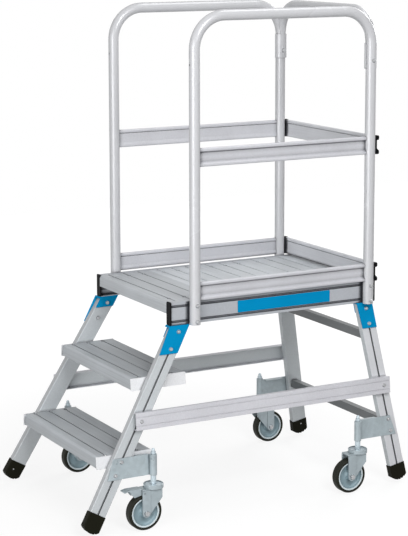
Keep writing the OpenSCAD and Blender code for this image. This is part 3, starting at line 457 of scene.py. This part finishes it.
blueFinish = mouldedCoat("blueCoat", blueCoat)
footFinish = mouldedCoat("footRubber", footRubber)
capFinish = mouldedCoat("capPlastic", capPlastic)
tyreFinish = mouldedCoat("tyreRubber", tyreRubber)


zinc = {
    "tone": (0.40, 0.465, 0.495), "contrast": 0.18, "rough": 0.34, "metal": 0.25,
    "spangle": 90.0, "flakes": 0.35, "cloudScale": 16.0, "cloudDetail": 4.0, "patches": 0.55,
    "haze": (-0.07, 0.08), "fineScale": 600.0, "bump": 0.15, "bumpDeep": 0.0003,
    # edges lightened as wear and painted highlight, then painted shade in hollows
    "edgeRadius": 0.0010, "rubbedEdgeHighlight": 0.35, "paintedShadeReach": 0.008, "paintedShade": 0.70, "paintedShadeFrom": (0.85, 0.30),
}
tubeZinc = {**zinc, "tone": (0.57, 0.66, 0.71), "rough": 0.32, "metal": 0.30}
brightZinc = {
    **zinc, "tone": (0.48, 0.49, 0.50), "spangle": 160.0, "rough": 0.26, "metal": 0.55, "edgeRadius": 0.0006,
}
springWire = {
    **zinc, "tone": (0.26, 0.26, 0.27), "spangle": 200.0, "rough": 0.34, "metal": 0.60, "edgeRadius": 0.0004,
}


def platedSteel(name, look):
    mat, tree, shader = startFinish(name)
    grain = addNode(tree, "TexVoronoi", {"Scale": look["spangle"]})
    tree.links.new(placeOf(tree), grain.inputs["Vector"])
    clouds = noiseAt(tree, placeOf(tree), look["cloudScale"], look["cloudDetail"])
    fine = noiseAt(tree, placeOf(tree), look["fineScale"])
    normal, edges = softEdges(tree, look["edgeRadius"])
    flakes = spread(tree, grain.outputs["Color"], 0.0, look["flakes"])
    tone = combine(tree, "ADD", flakes, spread(tree, clouds, 0.0, look["patches"], *noiseSpan))
    # edges lightened, partly wear and partly painted highlight
    tone = combine(tree, "ADD", tone, combine(tree, "MULTIPLY", edges, look["rubbedEdgeHighlight"]))
    colour = tinted(tree, tone, look["tone"], look["contrast"])
    # the colour darkened by painted shade in hollows
    tree.links.new(paintedShaded(tree, colour, look), shader.inputs["Base Color"])
    tree.links.new(hazed(tree, clouds, look), shader.inputs["Roughness"])
    normal = bumped(tree, fine, look["bump"], look["bumpDeep"], normal)
    tree.links.new(normal, shader.inputs["Normal"])
    shader.inputs["Metallic"].default_value = look["metal"]
    return mat


zincFinish = platedSteel("zincPlate", zinc)
stemFinish = platedSteel("zincTube", tubeZinc)
brightFinish = platedSteel("brightZinc", brightZinc)
wireFinish = platedSteel("springWire", springWire)


wheelPlastic = {
    "tone": (0.25, 0.345, 0.385), "contrast": 0.10, "rough": 0.40, "haze": (-0.05, 0.05),
    "ring": (0.78, 0.88, 0.92), "ringRadius": 0.0467, "ringBlur": 0.0005,
    "cloudScale": 40.0, "cloudDetail": 3.0, "fineScale": 800.0,
    "bump": 0.12, "bumpDeep": 0.0002, "edgeRadius": 0.0010,
}


def wheelCore(name, look, centre):
    # pale ring at the rim, measured from the axle
    mat, tree, shader = startFinish(name)
    radial = addNode(tree, "VectorMath", operation="LENGTH")
    tree.links.new(placeOf(tree, (0, 1, 1), shift=(0, -centre.y, -centre.z)), radial.inputs[0])
    ringStart, ringFull = (look["ringRadius"] + side * look["ringBlur"] for side in (-1, 1))
    rim = spread(tree, radial.outputs["Value"], 0.0, 1.0, ringStart, ringFull)
    clouds = noiseAt(tree, placeOf(tree), look["cloudScale"], look["cloudDetail"])
    fine = noiseAt(tree, placeOf(tree), look["fineScale"])
    body = tinted(tree, spread(tree, clouds, 0.0, 1.0, *noiseSpan), look["tone"], look["contrast"])
    tree.links.new(blended(tree, "MIX", rim, body, look["ring"]), shader.inputs["Base Color"])
    tree.links.new(hazed(tree, clouds, look), shader.inputs["Roughness"])
    rounded = softEdges(tree, look["edgeRadius"])[0]
    normal = bumped(tree, fine, look["bump"], look["bumpDeep"], rounded)
    tree.links.new(normal, shader.inputs["Normal"])
    return mat


def dress(node, mat):
    mesh = cadNodes[node].data
    mesh.materials.clear()
    mesh.materials.append(mat)


for node in ("lower_tread", "upper_tread"):
    dress(node, treadFinish)
dress("deck_nosing", nosingFinish)
dress("deck_planks", deckFinish)
for side in ("left", "right"):
    dress("side_brace_" + side, braceFinish(side))
    dress("platform_beam_" + side, beamFinish)
    dress("knee_rail_" + side, sideRailFinish)
    dress("toe_board_" + side, sideRailFinish)
    dress("guard_hoop_" + side, tubeFinish)
    dress("brake_pedal_" + side, zincFinish)
    for end in legs:
        dress(end + "_leg_" + side, legFinish(end, side))
for node in ("rear_brace_upper", "rear_brace_lower"):
    dress(node, paintedShadeCrossFinish)
for node in ("knee_rail_rear", "toe_board_rear"):
    dress(node, paintedLightRearRailFinish)
dress("tread_end_plates", endPlateFinish)
dress("rear_top_rail", tubeFinish)
dress("end_caps", capFinish)
dress("frame_bolts", brightFinish)
for end in legs:
    dress(end + "_leg_brackets", blueFinish)
    dress(end + "_feet", footFinish)
for corner in corners:
    low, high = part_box("castor_wheel_" + corner)
    dress("castor_wheel_" + corner, wheelCore("wheelCore_" + corner, wheelPlastic, (low + high) / 2))
    dress("castor_tyre_" + corner, tyreFinish)
    dress("castor_axle_" + corner, brightFinish)
    dress("castor_stem_" + corner, stemFinish)
    dress("castor_bracket_" + corner, zincFinish)
    dress("castor_fork_" + corner, zincFinish)
print("finishes on", len(cadNodes), "nodes")


def finishPiece(name, bm, mat, body, smooth=False):
    mesh = bpy.data.meshes.new(name)
    for face in bm.faces:
        face.smooth = smooth
    bm.to_mesh(mesh)
    bm.free()
    piece = bpy.data.objects.new(name, mesh)
    bpy.context.collection.objects.link(piece)
    mesh.materials.append(mat)
    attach(piece, body)
    return piece


coil = {"turns": 8, "stepsPerTurn": 28, "wireRadius": 0.0012, "wireSides": 12, "keep": 0.625}


def makeCoil(corner):
    low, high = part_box("castor_spring_" + corner)
    middle = (low + high) / 2
    wire = coil["wireRadius"]
    steps = coil["turns"] * coil["stepsPerTurn"]
    pitch = (high.z - low.z - 2 * wire) / steps
    bm = bmesh.new()
    ring = bmesh.ops.create_circle(bm, cap_ends=True, radius=wire, segments=coil["wireSides"])
    bmesh.ops.rotate(bm, verts=ring["verts"], cent=(0, 0, 0), matrix=Matrix.Rotation(quarter, 3, "X"))
    bmesh.ops.translate(bm, verts=ring["verts"], vec=(high.x - wire, middle.y, low.z + wire))
    bmesh.ops.spin(
        bm, geom=bm.verts[:] + bm.edges[:] + bm.faces[:], cent=(middle.x, middle.y, 0), axis=(0, 0, 1),
        dvec=(0, 0, pitch), angle=2 * math.pi * coil["turns"], steps=steps,
    )
    bmesh.ops.recalc_face_normals(bm, faces=bm.faces[:])
    piece = finishPiece("returnSpring_" + corner, bm, wireFinish, "frame", smooth=True)
    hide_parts("castor_spring_" + corner)
    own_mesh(piece)


for corner in corners:
    makeCoil(corner)
print("springs wound")


bolt = {
    "radius": 0.0046, "sides": 24, "rise": 0.0008, "chamfer": 0.0003, "sunk": 0.0001,
    "socket": 0.0026, "socketFloor": 0.0001,
    "legSplay": math.radians(5.6),  # bolts of the legs tip by this much
    "merge": 0.00001, "sameFace": 0.0001,
}


def islandsOf(bm):
    # the separate solids of a merged mesh, in the mesh's order, each as a list of its points
    seen = set()
    for first in bm.verts:
        if first in seen:
            continue
        seen.add(first)
        island = [first]
        for vert in island:
            near = [link.other_vert(vert) for link in vert.link_edges]
            fresh = [other for other in near if other not in seen]
            seen.update(fresh)
            island.extend(fresh)
        yield island


def endFace(island, out):
    reach = max(vert.co.dot(out) for vert in island)
    return [vert.co for vert in island if reach - vert.co.dot(out) < bolt["sameFace"]]


def socketReach(spot):
    # from the middle of the head to a side of the hexagon, on the line through this spot
    halfSide = math.pi / 6
    angle = math.atan2(spot.y, spot.x) + halfSide
    return bolt["socket"] / math.cos(angle % (2 * halfSide) - halfSide)


def addSocketHead(bm, place):
    # a disc drawn up to a chamfered rim, in to a hexagon and down to the floor of the socket
    steps = (  # height, and the radius there unless it is the hexagon's
        (bolt["rise"] - bolt["chamfer"], bolt["radius"]),
        (bolt["rise"], bolt["radius"] - bolt["chamfer"]),
        (bolt["rise"], None),
        (bolt["socketFloor"], None),
    )
    sunk = Matrix.Translation((0, 0, -bolt["sunk"]))
    disc = bmesh.ops.create_circle(
        bm, cap_ends=True, segments=bolt["sides"], radius=bolt["radius"], matrix=sunk,
    )
    points = disc["verts"]
    top = points[0].link_faces[0]
    for height, radius in steps:
        drawn = bmesh.ops.extrude_face_region(bm, geom=[top, *top.edges, *top.verts])["geom"]
        top = next(part for part in drawn if isinstance(part, bmesh.types.BMFace))
        for vert in top.verts:
            reach = radius or socketReach(vert.co)
            vert.co = (*vert.co.xy.normalized() * reach, height)
        points = points + top.verts[:]
    bmesh.ops.transform(bm, matrix=place, verts=points)


def makeBoltRims():
    # a raised rim with a hexagon socket on the outer end of each bolt
    heads = bmesh.new()
    heads.from_mesh(cadNodes["frame_bolts"].data)
    bmesh.ops.remove_doubles(heads, verts=heads.verts[:], dist=bolt["merge"])
    bm = bmesh.new()
    for island in islandsOf(heads):
        side = math.copysign(1, island[0].co.x)
        level = Vector((side, 0, 0))
        splayed = Vector((side * math.cos(bolt["legSplay"]), 0, math.sin(bolt["legSplay"])))
        out = max((level, splayed), key=lambda way: len(endFace(island, way)))
        face = endFace(island, out)
        centre = sum(face, Vector()) / len(face)
        addSocketHead(bm, Matrix.Translation(centre) @ out.to_track_quat("Z", "Y").to_matrix().to_4x4())
    heads.free()
    bmesh.ops.recalc_face_normals(bm, faces=bm.faces[:])
    finishPiece("boltRims", bm, brightFinish, "frame")


makeBoltRims()
print("rims on the bolts")


rivet = {"radius": 0.0026, "rise": 0.0012, "sides": 16, "rings": 8, "up": 0.040, "inset": 0.032}


def makeFootRivets():
    # one rivet on the inner side of each foot
    dome = Matrix.Diagonal((rivet["radius"], rivet["radius"], rivet["rise"], 1))
    bm = bmesh.new()
    for end in legs:
        feet = end + "_feet"
        low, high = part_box(feet)
        y = low.y + rivet["inset"] if end == "front" else high.y - rivet["inset"]
        start = (0, y, low.z + rivet["up"])
        for way in outward.values():
            spot, normal = cadNodes[feet].ray_cast(start, way)[1:3]
            turn = normal.to_track_quat("Z", "Y").to_matrix().to_4x4()
            place = Matrix.Translation(spot) @ turn @ dome
            bmesh.ops.create_uvsphere(
                bm, u_segments=rivet["sides"], v_segments=rivet["rings"], radius=1, matrix=place,
            )
    bmesh.ops.recalc_face_normals(bm, faces=bm.faces[:])
    finishPiece("footRivets", bm, brightFinish, "frame", smooth=True)


makeFootRivets()
print("rivets in the feet")


strip = {
    "fromFront": 0.2634, "long": 0.3821, "fromLow": 0.019, "high": 0.042, "thick": 0.0005,
    "corner": 0.003, "cornerSteps": 5,
}


def makeStrip():
    # a plain blue strip on the band of the right beam
    low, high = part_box("platform_beam_right")
    bm = bmesh.new()
    made = bmesh.ops.create_grid(bm, x_segments=1, y_segments=1, size=0.5)  # a unit square
    bmesh.ops.scale(bm, verts=made["verts"], vec=(strip["long"], strip["high"], 1))
    bmesh.ops.bevel(
        bm, geom=bm.verts[:], offset=strip["corner"], offset_type="OFFSET", segments=strip["cornerSteps"],
        profile=0.5, affect="VERTICES", material=-1,
    )
    upOnSide = Matrix.Rotation(quarter, 3, "Y") @ Matrix.Rotation(quarter, 3, "Z")
    bmesh.ops.rotate(bm, verts=bm.verts[:], cent=(0, 0, 0), matrix=upOnSide)
    middle = Vector((high.x + strip["thick"], low.y + strip["fromFront"] + strip["long"] / 2, 0))
    middle.z = low.z + strip["fromLow"] + strip["high"] / 2
    bmesh.ops.translate(bm, verts=bm.verts[:], vec=middle)
    bmesh.ops.solidify(bm, geom=bm.faces[:], thickness=strip["thick"])
    bmesh.ops.recalc_face_normals(bm, faces=bm.faces[:])
    finishPiece("blueStrip", bm, blueFinish, "frame")


makeStrip()
print("strip laid on the right beam")
